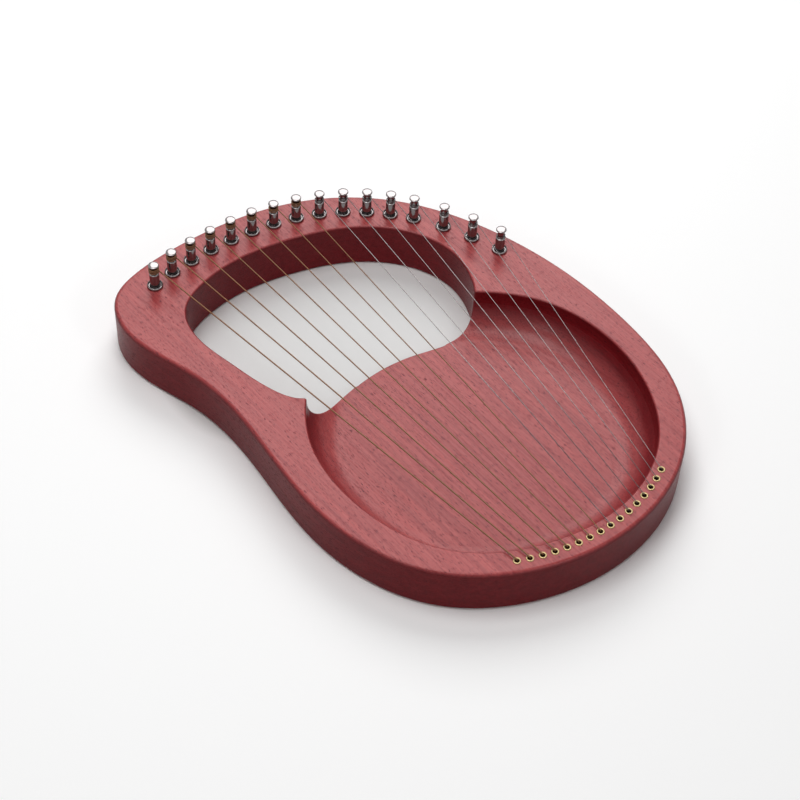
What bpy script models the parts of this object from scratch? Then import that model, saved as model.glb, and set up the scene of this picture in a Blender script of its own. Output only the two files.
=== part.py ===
"""A sixteen-string lyre harp, lying on its back with its strings upwards.

Metres, +Z up. The origin is at the middle of the underside, +Y points to the tuning pins and +X to the
player's short strings. The body is one milled slab of solid wood. Each tuning pin turns in its own flanged
bushing and is turned from the back, where its square end stands in a recess. Each string is wound on its
pin, runs over the hand opening and the bowl, and goes down through an eyelet to a ball end at the back.
"""

from math import acos, atan2, cos, pi, sin

import bmesh
import bpy
import numpy as np
from mathutils import Vector

# Body
BODY_THICKNESS = 0.035
BODY_EDGE_ROUND = 0.0025
BOWL_FLOOR = 0.008
BOWL_COVE_RADIUS = 0.013

# Tuning pins, heights above the face of the body
PIN_COUNT = 16
PIN_WIDE_GAPS = 3
PIN_STEP = 0.0167
PIN_WIDE_STEP = 0.0221
PIN_FIRST_X = -0.0960
PIN_FIRST_MARGIN = 0.0195
PIN_LAST_MARGIN = 0.0150
PIN_HEIGHT = 0.0202
PIN_HEAD_RADIUS = 0.0036
PIN_HEAD_EDGE = 0.0008
PIN_HEAD_DOME = 0.0004
PIN_FLARE = 0.0006
PIN_POST_RADIUS = 0.0033
PIN_SHOULDER = 0.0008
PIN_SHAFT_RADIUS = 0.0026
PIN_SQUARE = 0.0038
PIN_SQUARE_LENGTH = 0.0090
PIN_BACK_CLEARANCE = 0.0020
WAIST_RADIUS = 0.0023
WAIST_HEIGHT = 0.0058

# Bushings
FLANGE_RADIUS = 0.00545
FLANGE_THICKNESS = 0.0020
FLANGE_DISH = 0.0007
SLEEVE_WALL = 0.0008
SLEEVE_LENGTH = 0.0100
WRENCH_RECESS_RADIUS = 0.0060
WRENCH_RECESS_DEPTH = 0.0120

# Eyelets and ball ends
EYELET_STEP = 0.00817
EYELET_FIRST_X = -0.0590
EYELET_FIRST_MARGIN = 0.0090
EYELET_LAST_MARGIN = 0.0103
EYELET_RADIUS = 0.0026
EYELET_HEIGHT = 0.0006
EYELET_BORE_RADIUS = 0.0013
BALL_RADIUS = 0.0019
BALL_LENGTH = 0.0040
BALL_RECESS_RADIUS = 0.0026
BALL_RECESS_DEPTH = 0.0090
BALL_NECK = 0.00005

# Strings: the first eight are wound in bronze, the rest are plain steel
WOUND_STRINGS = 8
WOUND_THICKEST = 0.00095
WOUND_THINNEST = 0.00070
PLAIN_THICKEST = 0.00052
PLAIN_THINNEST = 0.00040
WOUND_TURNS = 3
PLAIN_TURNS = 2
TURN_GAP = 0.00045
TURN_POINTS = 12
STRING_BEND = 0.0011
BEND_POINTS = 3
STUB_LENGTH = 0.0012

# Fits between neighbouring pieces
RUNNING_GAP = 0.0003
SEAT_GAP = 0.0003
WINDING_GAP = 0.0004

# How finely round shapes are divided
ROW_SPANS = 60
ROW_PASSES = 4
OUTLINE_SPANS = 4
OPENING_SPANS = 4
BOWL_SPANS = 5
ROUND_SIDES = 12
SMALL_SIDES = 8
COVE_STEPS = 2

# Outlines seen from above, clockwise
BODY_OUTLINE = [
    (-0.1330, 0.1510), (-0.1215, 0.1710), (-0.0990, 0.1810), (-0.0610, 0.1850), (0.0030, 0.1790),
    (0.0510, 0.1595), (0.0910, 0.1230), (0.1190, 0.0690), (0.1328, 0.0090), (0.1333, -0.0605),
    (0.1185, -0.1200), (0.0770, -0.1660), (0.0130, -0.1850), (-0.0500, -0.1735), (-0.1030, -0.1350),
    (-0.1290, -0.0540), (-0.1210, 0.0290), (-0.1230, 0.0810), (-0.1348, 0.1320),
]
OPENING_OUTLINE = [
    (-0.0765, 0.0205), (-0.0900, 0.0410), (-0.0972, 0.0760), (-0.1005, 0.1050), (-0.0920, 0.1315),
    (-0.0690, 0.1440), (-0.0430, 0.1480), (0.0110, 0.1395), (0.0495, 0.1215), (0.0775, 0.0895),
    (0.0840, 0.0605), (0.0775, 0.0360), (0.0700, 0.0245), (0.0540, 0.0175), (0.0180, 0.0240),
    (-0.0150, 0.0276), (-0.0490, 0.0225), (-0.0660, 0.0190),
]
BOWL_OUTLINE = [
    (0.0710, 0.0245), (0.1000, -0.0080), (0.1125, -0.0545), (0.1030, -0.1065), (0.0755, -0.1455),
    (0.0310, -0.1665), (-0.0270, -0.1630), (-0.0845, -0.1280), (-0.1065, -0.0600), (-0.0990, -0.0130),
    (-0.0765, 0.0210), (-0.0300, 0.0520), (0.0250, 0.0520),
]

PARTS = "lyre_harp"
CUTTERS = "lyre_harp_cutters"
MERGE_DISTANCE = 0.00001


def clear_scene():
    for item in list(bpy.data.objects):
        bpy.data.objects.remove(item, do_unlink=True)


def make_collection(name):
    made = bpy.data.collections.new(name)
    bpy.context.scene.collection.children.link(made)
    return made


def make_material(name, colour, roughness, metallic):
    material = bpy.data.materials.new(name)
    material.use_nodes = True
    material.diffuse_color = (*colour, 1)
    shader = material.node_tree.nodes["Principled BSDF"]
    shader.inputs["Base Color"].default_value = (*colour, 1)
    shader.inputs["Roughness"].default_value = roughness
    shader.inputs["Metallic"].default_value = metallic
    return material


def closed_curve(points, spans):
    """A smooth closed curve through the points: a periodic cubic spline measured along its chords."""
    knots = np.array(points)
    count = len(knots)
    ahead = np.roll(knots, -1, axis=0) - knots
    length = np.hypot(ahead[:, 0], ahead[:, 1])
    matrix = np.zeros((count, count))
    right = np.zeros((count, 2))
    for i in range(count):
        before, after = length[i - 1], length[i]
        matrix[i, i - 1] = after
        matrix[i, i] = 2 * (before + after)
        matrix[i, (i + 1) % count] = before
        right[i] = 3 * (after * ahead[i - 1] / before + before * ahead[i] / after)
    slope = np.linalg.solve(matrix, right)
    t = np.linspace(0, 1, spans, endpoint=False)[:, None]
    rise = 3 * t**2 - 2 * t**3
    pieces = []
    for i in range(count):
        j = (i + 1) % count
        leave = (t - 2 * t**2 + t**3) * slope[i] * length[i]
        arrive = (t**3 - t**2) * slope[j] * length[i]
        pieces.append(knots[i] + rise * ahead[i] + leave + arrive)
    return np.vstack(pieces)


def inset_row(first_x, upper, steps, margins):
    """Points set in from the body's outline and spaced along their own row, which runs towards +X.

    The row lies along the upper or the lower end of the body. Its first point is at first_x, and its
    margin to the outline goes evenly from the first value of margins to the second.
    """
    fine = closed_curve(BODY_OUTLINE, ROW_SPANS)
    ahead = np.roll(fine, -1, axis=0) - np.roll(fine, 1, axis=0)
    ahead /= np.hypot(ahead[:, 0], ahead[:, 1])[:, None]
    inward = np.column_stack([ahead[:, 1], -ahead[:, 0]])
    start = np.argmin(fine[:, 0])
    order = (start + np.arange(len(fine) * 3 // 4) * (1 if upper else -1)) % len(fine)
    stops = np.concatenate([[0], np.cumsum(steps)])
    share = np.zeros(len(order))
    for _ in range(ROW_PASSES):
        margin = margins[0] + share * (margins[1] - margins[0])
        row = fine[order] + inward[order] * margin[:, None]
        leg = np.diff(row, axis=0)
        run = np.concatenate([[0], np.cumsum(np.hypot(leg[:, 0], leg[:, 1]))])
        run -= run[np.argmax(row[:, 0] >= first_x)]
        share = np.clip(run / stops[-1], 0, 1)
    return np.column_stack([np.interp(stops, run, row[:, 0]), np.interp(stops, run, row[:, 1])])


def mesh_from(curve_object, name):
    """Turns a curve into a mesh object with its caps welded on."""
    graph = bpy.context.evaluated_depsgraph_get()
    mesh = bpy.data.meshes.new_from_object(curve_object.evaluated_get(graph))
    mesh.name = name
    shape = bmesh.new()
    shape.from_mesh(mesh)
    bmesh.ops.remove_doubles(shape, verts=shape.verts, dist=MERGE_DISTANCE)
    bmesh.ops.recalc_face_normals(shape, faces=shape.faces)
    shape.to_mesh(mesh)
    shape.free()
    made = bpy.data.objects.new(name, mesh)
    made.matrix_world = curve_object.matrix_world
    data = curve_object.data
    bpy.data.objects.remove(curve_object, do_unlink=True)
    bpy.data.curves.remove(data)
    return made


def make_slab(name, outline, low, high, edge, edge_steps, collection):
    """A flat outline with rounded edges, from height low to height high."""
    data = bpy.data.curves.new(name, "CURVE")
    data.dimensions = "2D"
    data.fill_mode = "BOTH"
    data.extrude = (high - low) / 2 - edge
    data.bevel_depth = edge
    data.bevel_resolution = edge_steps
    data.offset = -edge
    spline = data.splines.new("POLY")
    spline.points.add(len(outline) - 1)
    for point, (x, y) in zip(spline.points, outline):
        point.co = (x, y, 0, 1)
    spline.use_cyclic_u = True
    guide = bpy.data.objects.new(name + "_curve", data)
    collection.objects.link(guide)
    guide.location.z = (low + high) / 2
    bpy.context.view_layer.update()
    made = mesh_from(guide, name)
    collection.objects.link(made)
    return made


def make_group(name, radius, low, high, sides, places, collection):
    """Upright round bars, one at each place, whose flats clear the radius, as one mesh for a Boolean."""
    mesh = bpy.data.meshes.new(name)
    shape = bmesh.new()
    reach = radius / cos(pi / sides)
    for x, y in places:
        bar = bmesh.ops.create_cone(
            shape, cap_ends=True, segments=sides, radius1=reach, radius2=reach, depth=high - low
        )
        bmesh.ops.translate(shape, verts=bar["verts"], vec=Vector((x, y, (low + high) / 2)))
    shape.to_mesh(mesh)
    shape.free()
    made = bpy.data.objects.new(name, mesh)
    collection.objects.link(made)
    return made


def hide_cutter(cutter):
    cutter.hide_render = True
    cutter.display_type = "WIRE"


def join_shape(target, cutter, operation):
    """Cuts or adds a shape with a Boolean modifier that stays on the object."""
    modifier = target.modifiers.new(cutter.name, "BOOLEAN")
    modifier.operation = operation
    modifier.solver = "EXACT"
    modifier.object = cutter
    hide_cutter(cutter)


def make_turned(name, profile, sides, closed, collection):
    """A solid of revolution about Z: a profile of radius and height, carried round by a Screw modifier."""
    mesh = bpy.data.meshes.new(name)
    count = len(profile)
    edges = [(i, i + 1) for i in range(count - 1)]
    if closed:
        edges.append((count - 1, 0))
    mesh.from_pydata([(radius, 0, height) for radius, height in profile], edges, [])
    made = bpy.data.objects.new(name, mesh)
    collection.objects.link(made)
    screw = made.modifiers.new("turn", "SCREW")
    screw.axis = "Z"
    screw.angle = 2 * pi
    screw.steps = sides
    screw.render_steps = sides
    screw.use_merge_vertices = True
    screw.merge_threshold = MERGE_DISTANCE
    screw.use_smooth_shade = False
    return made


def pin_places():
    narrow = PIN_COUNT - 1 - PIN_WIDE_GAPS
    steps = [PIN_STEP] * narrow + [PIN_WIDE_STEP] * PIN_WIDE_GAPS
    return inset_row(PIN_FIRST_X, True, steps, (PIN_FIRST_MARGIN, PIN_LAST_MARGIN))


def eyelet_places():
    steps = [EYELET_STEP] * (PIN_COUNT - 1)
    return inset_row(EYELET_FIRST_X, False, steps, (EYELET_FIRST_MARGIN, EYELET_LAST_MARGIN))


def bushing_bore():
    return (PIN_POST_RADIUS + RUNNING_GAP) / cos(pi / ROUND_SIDES)


def sleeve_radius():
    return bushing_bore() + SLEEVE_WALL


def build_body(pins, eyelets, wood, parts, cutters):
    """The slab, with its opening, bowl, bores and recesses, and the eyelets' rims on its face."""
    top = BODY_THICKNESS
    outline = closed_curve(BODY_OUTLINE, OUTLINE_SPANS)
    body = make_slab("body", outline, 0, top, BODY_EDGE_ROUND, 0, parts)
    opening = make_slab(
        "opening_cutter", closed_curve(OPENING_OUTLINE, OPENING_SPANS), -top, 2 * top, 0, 0, cutters
    )
    bowl = make_slab(
        "bowl_cutter", closed_curve(BOWL_OUTLINE, BOWL_SPANS), BOWL_FLOOR, 2 * top,
        BOWL_COVE_RADIUS, COVE_STEPS, cutters
    )
    join_shape(body, opening, "DIFFERENCE")
    join_shape(body, bowl, "DIFFERENCE")
    rims = make_group(
        "eyelet_rims", EYELET_RADIUS, top / 2, top + EYELET_HEIGHT, SMALL_SIDES, eyelets, cutters
    )
    join_shape(body, rims, "UNION")
    sleeve_hole = sleeve_radius() + SEAT_GAP
    holes = (
        ("sleeve_holes", sleeve_hole, top - SLEEVE_LENGTH - SEAT_GAP, 2 * top, ROUND_SIDES, pins),
        ("shaft_holes", PIN_SHAFT_RADIUS + RUNNING_GAP, WRENCH_RECESS_DEPTH / 2, top, ROUND_SIDES, pins),
        ("wrench_recesses", WRENCH_RECESS_RADIUS, -top, WRENCH_RECESS_DEPTH, ROUND_SIDES, pins),
        ("eyelet_bores", EYELET_BORE_RADIUS, BALL_RECESS_DEPTH / 2, 2 * top, SMALL_SIDES, eyelets),
        ("ball_recesses", BALL_RECESS_RADIUS, -top, BALL_RECESS_DEPTH, SMALL_SIDES, eyelets),
    )
    for name, radius, low, high, sides, places in holes:
        join_shape(body, make_group(name, radius, low, high, sides, places, cutters), "DIFFERENCE")
    body.data.materials.append(wood)
    return body


def pin_profile():
    """Radius and height from the top of the head down to the end of the round shaft."""
    head_base = PIN_HEIGHT - PIN_HEAD_DOME - PIN_HEAD_EDGE
    waist_top = head_base - PIN_FLARE
    waist_foot = waist_top - WAIST_HEIGHT
    return [
        (0, PIN_HEIGHT),
        (PIN_HEAD_RADIUS, PIN_HEIGHT - PIN_HEAD_DOME),
        (PIN_HEAD_RADIUS, head_base),
        (WAIST_RADIUS, waist_top),
        (WAIST_RADIUS, waist_foot),
        (PIN_POST_RADIUS, waist_foot - PIN_SHOULDER),
        (PIN_POST_RADIUS, -SLEEVE_LENGTH),
        (PIN_SHAFT_RADIUS, -SLEEVE_LENGTH),
        (PIN_SHAFT_RADIUS, WRENCH_RECESS_DEPTH - BODY_THICKNESS),
        (0, WRENCH_RECESS_DEPTH - BODY_THICKNESS),
    ]


def build_pins(places, nickel, parts, cutters):
    """Sixteen pins that share one mesh: a turned shaft joined to a square end for the tuning wrench."""
    model = make_turned("pin_shape", pin_profile(), ROUND_SIDES, False, cutters)
    low = PIN_BACK_CLEARANCE - BODY_THICKNESS
    high = WRENCH_RECESS_DEPTH - BODY_THICKNESS
    square_mesh = bpy.data.meshes.new("square_end")
    shape = bmesh.new()
    overlap = PIN_SHAFT_RADIUS / 2
    length = min(PIN_SQUARE_LENGTH, high - low)
    bmesh.ops.create_cube(shape, size=1)
    bmesh.ops.scale(shape, verts=shape.verts, vec=Vector((PIN_SQUARE, PIN_SQUARE, length + overlap)))
    shape.to_mesh(square_mesh)
    shape.free()
    square = bpy.data.objects.new("square_end", square_mesh)
    square.location.z = high + (overlap - length) / 2
    cutters.objects.link(square)
    join_shape(model, square, "UNION")
    bpy.context.view_layer.update()
    graph = bpy.context.evaluated_depsgraph_get()
    mesh = bpy.data.meshes.new_from_object(model.evaluated_get(graph))
    mesh.name = "tuning_pin"
    mesh.materials.clear()
    mesh.materials.append(nickel)
    mesh.shade_smooth()
    mesh.set_sharp_from_angle(angle=pi / 6)
    bpy.data.objects.remove(model, do_unlink=True)
    for number, (x, y) in enumerate(places, start=1):
        pin = bpy.data.objects.new(f"pin_{number:02d}", mesh)
        pin.location = (x, y, BODY_THICKNESS)
        parts.objects.link(pin)


def bushing_profile():
    """Radius and height of the ring: a dished flange on the face and a sleeve down into the body."""
    bore = bushing_bore()
    sleeve = sleeve_radius()
    crest = (sleeve + FLANGE_RADIUS) / 2
    return [
        (bore, FLANGE_THICKNESS - FLANGE_DISH),
        (crest, FLANGE_THICKNESS),
        (FLANGE_RADIUS, FLANGE_THICKNESS / 2),
        (FLANGE_RADIUS, SEAT_GAP),
        (sleeve, SEAT_GAP),
        (sleeve, -SLEEVE_LENGTH),
        (bore, -SLEEVE_LENGTH),
    ]


def build_bushings(places, nickel, parts, cutters):
    """Sixteen pressed-in bushings that share one mesh."""
    model = make_turned("bushing_shape", bushing_profile(), ROUND_SIDES, True, cutters)
    bpy.context.view_layer.update()
    graph = bpy.context.evaluated_depsgraph_get()
    mesh = bpy.data.meshes.new_from_object(model.evaluated_get(graph))
    mesh.name = "bushing"
    mesh.materials.append(nickel)
    mesh.shade_smooth()
    mesh.set_sharp_from_angle(angle=pi / 6)
    bpy.data.objects.remove(model, do_unlink=True)
    for number, (x, y) in enumerate(places, start=1):
        bushing = bpy.data.objects.new(f"bushing_{number:02d}", mesh)
        bushing.location = (x, y, BODY_THICKNESS)
        parts.objects.link(bushing)


def string_size(index):
    """Diameter and number of turns of a string, thickest first in each set."""
    if index < WOUND_STRINGS:
        share = index / (WOUND_STRINGS - 1)
        return WOUND_THICKEST + share * (WOUND_THINNEST - WOUND_THICKEST), WOUND_TURNS
    share = (index - WOUND_STRINGS) / (PIN_COUNT - WOUND_STRINGS - 1)
    return PLAIN_THICKEST + share * (PLAIN_THINNEST - PLAIN_THICKEST), PLAIN_TURNS


def string_route(pin, eyelet, diameter, turns):
    """Points and radii of a string: its stub, its turns down the waist, its run and its ball end."""
    radius = diameter / 2
    shoulder = PIN_HEIGHT - PIN_HEAD_DOME - PIN_HEAD_EDGE - PIN_FLARE - WAIST_HEIGHT
    low = BODY_THICKNESS + shoulder + radius + SEAT_GAP
    pitch = diameter + TURN_GAP
    coil = WAIST_RADIUS + WINDING_GAP + radius
    away = Vector(eyelet - pin)
    facing = atan2(away.y, away.x)
    leave = facing + acos(coil / away.length)
    steps = round(turns * TURN_POINTS)
    route = []
    for step in range(steps + 1):
        left = steps - step
        turn = leave + 2 * pi * left / TURN_POINTS
        height = low + pitch * left / TURN_POINTS
        route.append(Vector((pin[0] + coil * cos(turn), pin[1] + coil * sin(turn), height)))
    start = leave + 2 * pi * turns
    stub = Vector((-sin(start), cos(start), 0)) * STUB_LENGTH
    route.insert(0, route[0] + stub)
    turning = list(route)
    face = BODY_THICKNESS + EYELET_HEIGHT + radius + SEAT_GAP
    plan = Vector((eyelet[0] - route[-1].x, eyelet[1] - route[-1].y, 0)).normalized()
    end = Vector((eyelet[0], eyelet[1], face))
    for step in range(BEND_POINTS + 1):
        bend = pi / 2 * step / BEND_POINTS
        drop = Vector((0, 0, STRING_BEND * (1 - cos(bend))))
        route.append(end - plan * STRING_BEND * (1 - sin(bend)) - drop)
    radii = [radius] * len(route)
    ball_top = BALL_RECESS_DEPTH - SEAT_GAP
    for height, size in (
        (ball_top + BALL_NECK, radius), (ball_top, BALL_RADIUS), (ball_top - BALL_LENGTH, BALL_RADIUS)
    ):
        route.append(Vector((eyelet[0], eyelet[1], height)))
        radii.append(size)
    return route, radii, turning


def least_gap(turning, diameter):
    """The smallest free distance between one turn and the next, measured on the winding's points."""
    points = np.array([tuple(point) for point in turning])
    apart = TURN_POINTS // 2
    gaps = []
    for i in range(len(points) - apart):
        legs = points[i + apart:] - points[i]
        gaps.append(np.sqrt((legs**2).sum(axis=1)).min())
    return min(gaps) - diameter


def build_strings(pins, eyelets, bronze, steel, parts):
    """Sixteen strings, each one unbroken tube."""
    for index, (pin, eyelet) in enumerate(zip(pins, eyelets)):
        diameter, turns = string_size(index)
        route, radii, turning = string_route(pin, eyelet, diameter, turns)
        name = f"string_{index + 1:02d}"
        data = bpy.data.curves.new(name, "CURVE")
        data.dimensions = "3D"
        data.bevel_depth = 1
        data.bevel_resolution = 1
        data.use_fill_caps = True
        spline = data.splines.new("POLY")
        spline.points.add(len(route) - 1)
        for point, place, radius in zip(spline.points, route, radii):
            point.co = (*place, 1)
            point.radius = radius
        data.materials.append(bronze if index < WOUND_STRINGS else steel)
        parts.objects.link(bpy.data.objects.new(name, data))
        print(f"{name}: least gap between turns {1000 * least_gap(turning, diameter):.2f} mm")


def main():
    clear_scene()
    parts = make_collection(PARTS)
    cutters = make_collection(CUTTERS)
    wood = make_material("reddish_mahogany", (0.35, 0.07, 0.05), 0.4, 0)
    nickel = make_material("polished_nickel", (0.75, 0.74, 0.72), 0.15, 1)
    bronze = make_material("bronze_winding", (0.75, 0.42, 0.25), 0.35, 1)
    steel = make_material("plain_steel", (0.70, 0.68, 0.66), 0.25, 1)
    pins = pin_places()
    eyelets = eyelet_places()
    build_body(pins, eyelets, wood, parts, cutters)
    build_pins(pins, nickel, parts, cutters)
    build_bushings(pins, nickel, parts, cutters)
    build_strings(pins, eyelets, bronze, steel, parts)


main()
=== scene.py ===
from math import acos, atan2, cos, pi, radians, sin

import bpy
import numpy as np
from bpy.props import FloatProperty, FloatVectorProperty, IntProperty, PointerProperty
from bpy.types import Operator, Panel, PropertyGroup
from mathutils import Matrix, Vector


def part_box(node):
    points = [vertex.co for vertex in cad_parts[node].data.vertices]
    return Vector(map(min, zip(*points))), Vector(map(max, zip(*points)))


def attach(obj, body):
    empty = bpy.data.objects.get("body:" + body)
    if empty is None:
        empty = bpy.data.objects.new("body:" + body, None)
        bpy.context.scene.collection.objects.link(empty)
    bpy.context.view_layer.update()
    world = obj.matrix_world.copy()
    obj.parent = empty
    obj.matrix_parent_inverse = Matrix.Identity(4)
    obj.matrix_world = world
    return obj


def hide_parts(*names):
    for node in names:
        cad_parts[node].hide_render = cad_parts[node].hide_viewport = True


bl_info = {
    "name": "Lyre harp",
    "version": (1, 0, 0),
    "blender": (4, 5, 0),
    "location": "3D View > Sidebar > Lyre",
    "description": "Finished surfaces for a sixteen-string lyre harp around its packed construction",
    "category": "Add Mesh",
}

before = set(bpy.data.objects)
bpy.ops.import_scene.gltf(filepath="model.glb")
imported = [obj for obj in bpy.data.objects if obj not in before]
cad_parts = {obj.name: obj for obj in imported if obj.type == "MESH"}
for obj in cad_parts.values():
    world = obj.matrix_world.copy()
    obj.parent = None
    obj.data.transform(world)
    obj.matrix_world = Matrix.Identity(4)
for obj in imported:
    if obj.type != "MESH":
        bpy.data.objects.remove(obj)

COUNT = 16
WOUND_COUNT = 8
NUMBERS = [f"{number:02d}" for number in range(1, COUNT + 1)]

# The body's node includes the eyelets' rims, which stand above the face, in metres
EYELET_RIM_HEIGHT = 0.0006
FACE_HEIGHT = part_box("body")[1].z - EYELET_RIM_HEIGHT

# How finely the surfaces are drawn, in points, steps, sides and angles
SPLINE_SPANS = 24
OUTLINE_POINTS = 560
OPENING_POINTS = 500
BOWL_POINTS = 700
OPENING_RUN_POINTS = 220
BOWL_RUN_POINTS = 300
FILLET_POINTS = 9
LIP_BLEND_POINTS = 12
ROUND_STEPS = 6
COVE_STEPS = 16
BORE_SIDES = 48
SMALL_BORE_SIDES = 24
PIN_SIDES = 48
BUSHING_SIDES = 64
EYELET_SIDES = 40
STRING_SIDES = 12
TURN_POINTS = 40
RUN_POINTS = 26
BEND_POINTS = 9
SMOOTH_ANGLE = radians(35)
CARVED_SMOOTH_ANGLE = radians(32)

# Holes in the body: heights are above the back, depths below the face, in metres
SLEEVE_HOLE_RADIUS = 0.0049
SLEEVE_HOLE_DEPTH = 0.0103
SHAFT_HOLE_RADIUS = 0.0029
SHAFT_HOLE_FOOT = 0.0060
WRENCH_RECESS_RADIUS = 0.0060
WRENCH_RECESS_TOP = 0.0120
EYELET_HOLE_RADIUS = 0.0021
EYELET_HOLE_FOOT = 0.0045
BALL_RECESS_RADIUS = 0.0026
BALL_RECESS_TOP = 0.0090
CUTTER_OVERREACH = 0.0100
HOLLOW_OVERREACH = 0.0040

# Pins and bushings: the sleeve's length is below the face, the flange's seat is above it, and the
# waist's foot is below the head's top. The square that the wrench turns has its heights above the back
SLEEVE_LENGTH = 0.0100
SLEEVE_BORE_RADIUS = 0.0037
SLEEVE_RADIUS = 0.0045
FLANGE_SEAT_GAP = 0.0003
SHAFT_RADIUS = 0.0026
WAIST_FOOT_DROP = 0.0076
SQUARE_HALF_WIDTH = 0.0019
SQUARE_END_SHARE = 0.86
SQUARE_FOOT = 0.0030
SQUARE_CHAMFER_TOP = 0.0035
SQUARE_TOP = 0.0117

# Eyelets: the barrel's length is below the face, and the rim's seat is above it
EYELET_BARREL_RADIUS = 0.0019
EYELET_BARREL_LENGTH = 0.0060
EYELET_SEAT_GAP = 0.00002

# A string's clearance round its pin, its bend over the eyelet, and the ball at its end, whose profile
# holds each ring's drop below the ball's top and its share of the swelling
TURN_CLEARANCE = 0.0004
LOWEST_TURN_GAP = 0.0003
STUB_LENGTH = 0.0012
EYELET_CLEARANCE = 0.0009
BEND_RADIUS = 0.0011
BALL_RADIUS = 0.0019
BALL_TOP = 0.0087
BALL_PROFILE = [
    (-0.00005, 0.0), (0.0, 0.45), (0.0005, 0.85), (0.0012, 0.97),
    (0.0020, 1.0), (0.0028, 0.97), (0.0035, 0.85), (0.0040, 0.6),
]

# Noise patterns of the wood, each with its scale across the grain and its share along the grain, then
# the colours and gloss that are laid over them, among them the painted shade that darkens steep faces, and
# the slope past which a face counts as a side
FIGURE = (260, 0.03)
CLOUD = (16, 0.3)
FINE_STREAKS = (900, 0.03)
PORES = (2400, 0.10)
STREAK_COLOUR = (0.55, 0.14, 0.13)
STEEP_PAINTED_SHADE = (0.48, 0.16, 0.24)
FACE_GLOSS = 0.3
SIDE_GLOSS = 0.12
STEEP_LIMIT = 0.25

# Outlines of the body, the hand opening and the bowl seen from above, clockwise, in metres
BODY_OUTLINE = [
    (-0.1330, 0.1510), (-0.1215, 0.1710), (-0.0990, 0.1810), (-0.0610, 0.1850), (0.0030, 0.1790),
    (0.0510, 0.1595), (0.0910, 0.1230), (0.1190, 0.0690), (0.1328, 0.0090), (0.1333, -0.0605),
    (0.1185, -0.1200), (0.0770, -0.1660), (0.0130, -0.1850), (-0.0500, -0.1735), (-0.1030, -0.1350),
    (-0.1290, -0.0540), (-0.1210, 0.0290), (-0.1230, 0.0810), (-0.1348, 0.1320),
]
OPENING_OUTLINE = [
    (-0.0765, 0.0205), (-0.0900, 0.0410), (-0.0972, 0.0760), (-0.1005, 0.1050), (-0.0920, 0.1315),
    (-0.0690, 0.1440), (-0.0430, 0.1480), (0.0110, 0.1395), (0.0495, 0.1215), (0.0775, 0.0895),
    (0.0840, 0.0605), (0.0775, 0.0360), (0.0700, 0.0245), (0.0540, 0.0175), (0.0180, 0.0240),
    (-0.0150, 0.0276), (-0.0490, 0.0225), (-0.0660, 0.0190),
]
BOWL_OUTLINE = [
    (0.0710, 0.0245), (0.1000, -0.0080), (0.1125, -0.0545), (0.1030, -0.1065), (0.0755, -0.1455),
    (0.0310, -0.1665), (-0.0270, -0.1630), (-0.0845, -0.1280), (-0.1065, -0.0600), (-0.0990, -0.0130),
    (-0.0765, 0.0210), (-0.0300, 0.0520), (0.0250, 0.0520),
]

# The camera that the photograph was taken with, found from the outline and the pins
CAMERA_PLACE = (-0.557564, -0.594299, 0.928000)
CAMERA_RIGHT = (0.76475967, -0.64333931, 0.03545677)
CAMERA_UP = (0.46735290, 0.59175792, 0.65681338)
CAMERA_FORWARD = (0.44353569, 0.48573356, -0.75321909)

# Soft boxes: name, place, side in metres and power in watts
LAMPS = (
    ("back_softbox", (0.75, 0.86, 1.25), 1.1, 15.0),
    ("top_softbox", (-0.25, 0.10, 1.60), 0.9, 12.0),
    ("left_front_softbox", (-1.25, -0.25, 1.05), 0.30, 1.6),
    ("right_front_softbox", (0.10, -1.25, 1.05), 0.30, 1.6),
)

# The floor lies just under the back. Seen through the hand opening it is grey, in an ellipse
FLOOR_HEIGHT = -0.0002
GREY_CENTRE = (-0.010, 0.085)
GREY_RADII = (0.125, 0.095)
GREY_TONE = (0.74, 0.74, 0.735)
WHITE = (1.0, 1.0, 1.0)
ROOM_LIGHT = 0.16


def size(name, text, default):
    """A length in metres that a user may change."""
    return FloatProperty(
        name=name, description=text, default=default, min=0.0, precision=5,
        subtype="DISTANCE", unit="LENGTH",
    )


def colour(name, text, default):
    """A colour that a user may change."""
    return FloatVectorProperty(
        name=name, description=text, default=default, size=3, min=0.0, max=1.0, subtype="COLOR"
    )


class LyreBody(PropertyGroup):
    thickness: size("Thickness", "From the back to the face", FACE_HEIGHT)
    outer_round: size("Outer edge round", "Radius on the outer edges", 0.0026)
    rim_round: size("Rim round", "Radius on the rims of the opening and the bowl", 0.0016)
    lip_round: size("Lip round", "Radius where the bowl's floor ends at the opening", 0.0012)
    cusp_round: size("Cusp round", "How far the points beside the bowl are rounded off", 0.0022)
    bowl_floor: size("Bowl floor", "Height of the bowl's floor above the back", 0.0080)
    cove: size("Cove radius", "Radius between the bowl's wall and its floor", 0.0240)
    light_wood: colour("Light wood", "Colour between the pores", (0.390, 0.050, 0.050))
    dark_wood: colour("Dark wood", "Colour of the darker figure", (0.260, 0.022, 0.026))
    pore: colour("Pore", "Colour of the open pores", (0.085, 0.010, 0.020))


class LyreMetal(PropertyGroup):
    head_radius: size("Head radius", "Radius of a tuning pin's head", 0.0036)
    post_radius: size("Post radius", "Radius of a tuning pin's post", 0.0033)
    waist_radius: size("Waist radius", "Radius where the string winds", 0.0023)
    pin_height: size("Pin height", "Top of the head above the face", 0.0202)
    flange_radius: size("Flange radius", "Outer radius of a bushing", 0.00545)
    flange_thickness: size("Flange thickness", "Top of a bushing above the face", 0.0020)
    eyelet_radius: size("Eyelet radius", "Outer radius of an eyelet", 0.0026)
    eyelet_bore: size("Eyelet bore", "Radius of the hole in an eyelet", 0.0013)
    nickel: colour("Nickel", "Colour of the plated pins and bushings", (0.24, 0.22, 0.22))
    brass: colour("Brass", "Colour of the eyelets", (0.36, 0.27, 0.14))


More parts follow.
